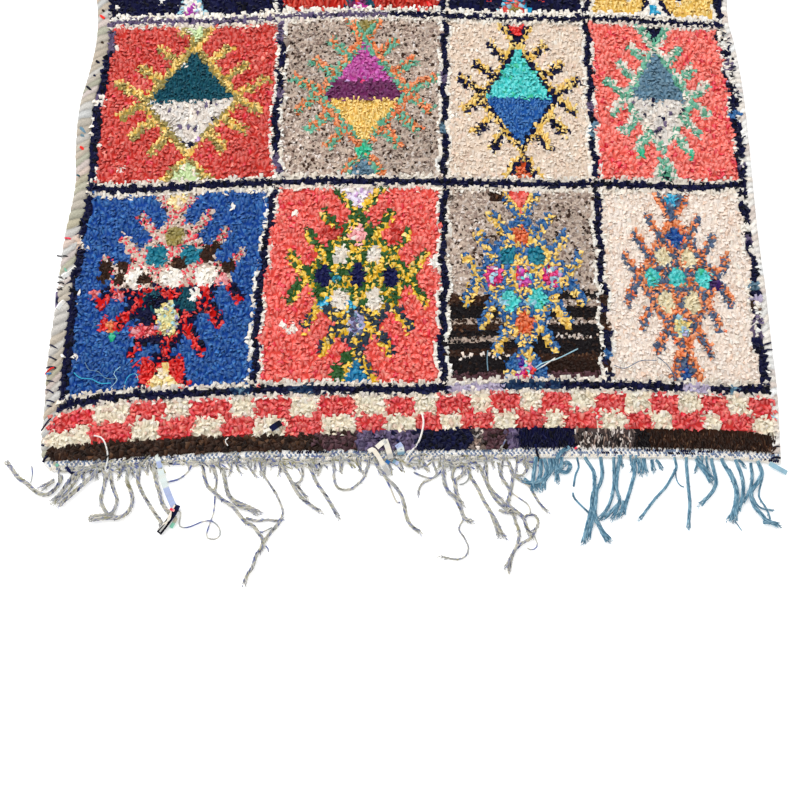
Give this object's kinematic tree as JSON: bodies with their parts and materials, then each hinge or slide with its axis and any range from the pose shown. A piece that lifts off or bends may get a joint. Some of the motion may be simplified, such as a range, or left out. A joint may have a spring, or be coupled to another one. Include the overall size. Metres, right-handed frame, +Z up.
{
  "type": "boucherouite rug",
  "caption": "Flat rectangular rag-pile rug with patterned panels, wrapped side edges, woven end bands and a loose fringe along one end.",
  "frame": {"origin": "middle of the rug's box, fringe included, on the surface that it lies on", "axes": "+Y along the length, from the fringed end to the plain end; +X across the width; +Z up, out of the pile"},
  "size_m": [1.5342, 2.6808, 0.0176],
  "materials": {
    "pile": "knotted cotton and jersey rag pile, matt, in coral, cream, blue, grey and navy panels",
    "selvedge": "cloth-wrapped edge, matt, undyed with navy stitches",
    "heading": "tight plain weave, matt, off-white with navy flecks",
    "fringe_twine": "twisted speckled grey and cream yarn, matt",
    "fringe_blue": "twisted slate-blue yarn, frayed at the tips, matt"
  },
  "bodies": {
    "root": {"field": "pile", "selvedge_left": "selvedge", "selvedge_right": "selvedge", "heading_near": "heading", "heading_far": "heading", "fringe_twine": "fringe_twine", "fringe_blue": "fringe_blue"}
  },
  "joints": []
}
